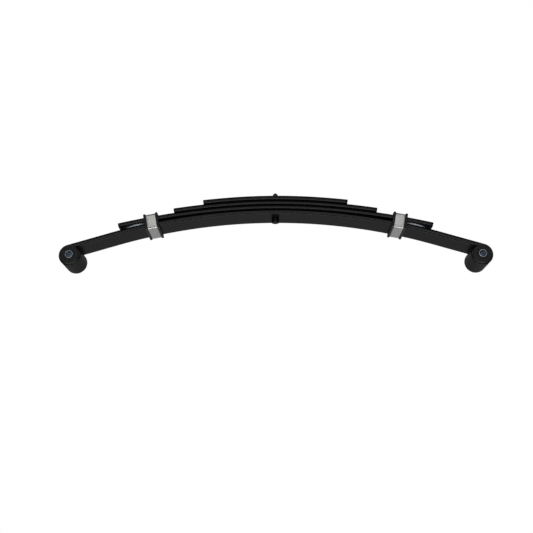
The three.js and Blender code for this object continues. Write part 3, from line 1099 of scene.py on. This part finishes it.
# %% Copying a piece to the front end
def install(piece, part, finish, body, front_part=None, front_body=None):
    """Dresses a rear piece and its front copy, and lets both ride and stand for their nodes.

    The front copy may be another part on another body, because half a turn also brings what was on
    the near side of the spring to its far side.
    """
    front_part = front_part or part
    other = front_copy(piece, f"front_{front_part}_visual")
    for each, end_part, end_body in (
        (piece, f"rear_{part}", f"rear_{body}"),
        (other, f"front_{front_part}", f"front_{front_body or body}"),
    ):
        dress(each, finish)
        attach(each, end_body)
        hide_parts(end_part)
    print(piece.name, "and", other.name, "ride on their bodies")


# %% Putting the clips in place
CLIP_PLACE = Matrix.Translation((CLIP_X, 0, CLIP_Z)) @ Matrix.Rotation(CLIP_TILT, 4, "Y")
for piece, part, finish, slot in (
    (band, "clip_band", bright, "bright_band"),
    (liner, "clip_liner", rubber, "rubber"),
    (rivet, "clip_rivet", bright, "bright_band"),
):
    piece.matrix_world = CLIP_PLACE
    settle(piece)
    install(piece, part, finish, "arm")
print("clip tilt", round(math.degrees(CLIP_TILT), 1), "degrees")

# %% [markdown]
# ## The tip pads
#
# A pad is a round button of nylon that lies in the wedge between the second leaf and the main
# leaf, with a peg that stands in a hole of the second leaf. A cylinder is cut off by two planes,
# one along each leaf, and its rims are rounded, so that it shows as a bright lens between them.

# %% The tip pad
PAD_RADIUS = 22.5 * MM
PAD_CLEAR = 0.25 * MM
PEG_RADIUS = 4.1 * MM
PEG_DOWN = 1.5 * MM
pad = rod("rear_tip_pad_visual", PAD_RADIUS, (PEG_X, 0, PEG_Z - 8 * MM), 12 * MM, sides=96)
edit(pad)
pad_slope_below = math.asin(PAD_X / ARCH_RADIUS)
leaf_top_z = ARCH_CENTRE_Z + (ARCH_RADIUS + THICK / 2) * math.cos(pad_slope_below)
leaf_top_x = (ARCH_RADIUS + THICK / 2) * math.sin(pad_slope_below)
planes = [
    (PAD_ANGLE, (PEG_X, 0, PEG_Z), -PAD_CLEAR, True),
    (pad_slope_below, (leaf_top_x, 0, leaf_top_z), PAD_CLEAR, False),
]
for slope, through, clear, over in planes:
    up = Vector((math.sin(slope), 0, math.cos(slope)))
    bpy.ops.mesh.select_all(action="SELECT")
    bpy.ops.mesh.bisect(
        plane_co=Vector(through) + up * clear,
        plane_no=up,
        clear_outer=over,
        clear_inner=not over,
        use_fill=True,
    )
close()
bevel_corners(pad, 0.35 * MM, 3, 50)
peg_foot = (PEG_X - PEG_DOWN * math.sin(PAD_ANGLE), 0, PEG_Z - PEG_DOWN * math.cos(PAD_ANGLE))
peg = rod("peg", PEG_RADIUS, peg_foot, THICK + 1.3 * MM, PAD_ANGLE)
bevel_corners(peg, 0.5 * MM, 3, 50)
cut(pad, peg, "UNION")
report(smooth(pad))
install(pad, "tip_pad", nylon, "arm")

# %% [markdown]
# ## The eyes
#
# Two flanged rubber bushes are pressed into each eye from its sides, and a steel sleeve goes
# through both. The sleeve is the only part that the hanger bolt clamps, so it is as long as the
# eye and both flanges together.

# %% The sleeve
SLEEVE_RADIUS = 6 * MM
SLEEVE_BORE = 4.9 * MM
SLEEVE_HALF = 30 * MM
BREAK = 0.4 * MM
sleeve = turned(
    "rear_eye_sleeve_visual",
    [(SLEEVE_BORE, -SLEEVE_HALF + BREAK), (SLEEVE_BORE + BREAK, -SLEEVE_HALF)]
    + [(SLEEVE_RADIUS - BREAK, -SLEEVE_HALF)]
    + quarter((SLEEVE_RADIUS - BREAK, -SLEEVE_HALF + BREAK), BREAK, -80, 0, 3)
    + quarter((SLEEVE_RADIUS - BREAK, SLEEVE_HALF - BREAK), BREAK, 0, 80, 3)
    + [(SLEEVE_RADIUS - BREAK, SLEEVE_HALF), (SLEEVE_BORE + BREAK, SLEEVE_HALF)]
    + [(SLEEVE_BORE, SLEEVE_HALF - BREAK), (SLEEVE_BORE, -SLEEVE_HALF + BREAK)],
    bored=True,
)
report(sleeve)

# %% [markdown]
# ### The bush
#
# The body that goes into the eye has a rounded lead and one shallow groove that holds grease. The
# flange has a full round rim, a low raised ring on its face that the hanger presses flat, and a
# thin line of flash round its middle where the two halves of the mould met.

# %% The bush
BUSH_BORE = SLEEVE_RADIUS + 0.1 * MM
BUSH_BODY = EYE_BORE - 0.15 * MM
SHOULDER = WIDTH / 2 + 0.2 * MM
FLANGE_FACE = WIDTH / 2 + 4.5 * MM
FLANGE_RADIUS = 14.6 * MM
FLANGE_MIDDLE = (SHOULDER + FLANGE_FACE) / 2
RIM = 1.3 * MM
LEAD = 1.2 * MM
RING_PROUD = 0.3 * MM
FLASH_PROUD, FLASH_HALF = 0.2 * MM, 0.15 * MM
BUSH_FOOT = WIDTH / 2 - 16.9 * MM
GROOVE = BUSH_FOOT + 8 * MM
GROOVE_DEPTH = 0.5 * MM
bush = turned(
    "rear_near_bush_visual",
    [(BUSH_BORE, BUSH_FOOT + 0.4 * MM), (BUSH_BORE + 0.4 * MM, BUSH_FOOT)]
    + quarter((BUSH_BODY - LEAD, BUSH_FOOT + LEAD), LEAD, -85, 0, 4)
    + [(BUSH_BODY, GROOVE - 1 * MM), (BUSH_BODY - GROOVE_DEPTH, GROOVE - 0.5 * MM)]
    + [(BUSH_BODY - GROOVE_DEPTH, GROOVE + 0.5 * MM), (BUSH_BODY, GROOVE + 1 * MM)]
    + [(BUSH_BODY, SHOULDER)]
    + quarter((FLANGE_RADIUS - RIM, SHOULDER + RIM), RIM, -90, -8, 4)
    + [(FLANGE_RADIUS, FLANGE_MIDDLE - FLASH_HALF)]
    + [(FLANGE_RADIUS + FLASH_PROUD, FLANGE_MIDDLE)]
    + [(FLANGE_RADIUS, FLANGE_MIDDLE + FLASH_HALF)]
    + quarter((FLANGE_RADIUS - RIM, FLANGE_FACE - RING_PROUD - RIM), RIM, 8, 88, 4)
    + [(BUSH_BORE + 3.6 * MM, FLANGE_FACE - RING_PROUD), (BUSH_BORE + 3.2 * MM, FLANGE_FACE)]
    + [(BUSH_BORE + 0.9 * MM, FLANGE_FACE), (BUSH_BORE, FLANGE_FACE - 0.8 * MM)]
    + [(BUSH_BORE, BUSH_FOOT + 0.4 * MM)],
    bored=True,
)
report(bush)

# %% Putting the eyes together
TO_EYE = Matrix.Translation((EYE_X, 0, EYE_RADIUS))
far_bush = bush.copy()
far_bush.data = bush.data.copy()
far_bush.name = "rear_far_bush_visual"
bpy.context.collection.objects.link(far_bush)
for piece, turn in ((sleeve, QUARTER), (bush, QUARTER), (far_bush, -QUARTER)):
    piece.matrix_world = TO_EYE @ Matrix.Rotation(turn, 4, "X")
    settle(piece)
install(sleeve, "eye_sleeve", zinc, "sleeve")
NEAR, FAR = ("near_bush", "near_bush_body"), ("far_bush", "far_bush_body")
for piece, (part, body), (front_part, front_body) in ((bush, NEAR, FAR), (far_bush, FAR, NEAR)):
    install(piece, part, rubber, body, front_part, front_body)
print("eye at", round(EYE_X / MM, 1), round(EYE_RADIUS / MM, 1), "mm")

# %% [markdown]
# ## The floor
#
# The spring stands on its two eyes on a pale floor. The floor shows only to the camera and only
# from above, so that the lamps under it still reach the steel. It glows a little, which keeps it
# pale without more light on the black paint, and it fades out towards its edge, so that no horizon
# cuts through the view.

# %% The floor's plane and its pale finish
FLOOR_SIZE, FLOOR_Z = 8, -0.05 * MM
FADES_FROM, FADES_TO = 0.8, 2.6
bpy.ops.object.select_all(action="DESELECT")
bpy.ops.mesh.primitive_plane_add(size=FLOOR_SIZE, location=(0, 0, FLOOR_Z))
floor = bpy.context.object
floor.name = "floor"
pale = Finish(
    "pale_floor", (0.82, 0.82, 0.81), 0.7, Emission_Color=WHITE, Emission_Strength=0.5
)
floor.data.materials.append(pale.material)
print("floor", round(floor.dimensions.x, 1), "m wide")

# %% Where the floor shows
tree = pale.tree
ray = tree.nodes.new("ShaderNodeLightPath")
facing = tree.nodes.new("ShaderNodeNewGeometry")
distance = tree.nodes.new("ShaderNodeVectorMath")
distance.operation = "LENGTH"
tree.links.new(pale.place, distance.inputs[0])
fade = tree.nodes.new("ShaderNodeMapRange")
fade.interpolation_type = "SMOOTHSTEP"
for label, value in (
    ("From Min", FADES_FROM),
    ("From Max", FADES_TO),
    ("To Min", 1.0),
    ("To Max", 0.0),
):
    fade.inputs[label].default_value = value
tree.links.new(distance.outputs["Value"], fade.inputs["Value"])
above = calculate(
    tree, "SUBTRACT", ray.outputs["Is Camera Ray"], facing.outputs["Backfacing"], clamp=True
)
visible = calculate(tree, "MULTIPLY", above, fade.outputs["Result"])
clear = tree.nodes.new("ShaderNodeBsdfTransparent")
shown = tree.nodes.new("ShaderNodeMixShader")
tree.links.new(visible, shown.inputs["Fac"])
tree.links.new(clear.outputs["BSDF"], shown.inputs[1])
tree.links.new(pale.shader.outputs["BSDF"], shown.inputs[2])
tree.links.new(shown.outputs["Shader"], tree.nodes["Material Output"].inputs["Surface"])
print("floor fades out from", FADES_FROM, "to", FADES_TO, "m")
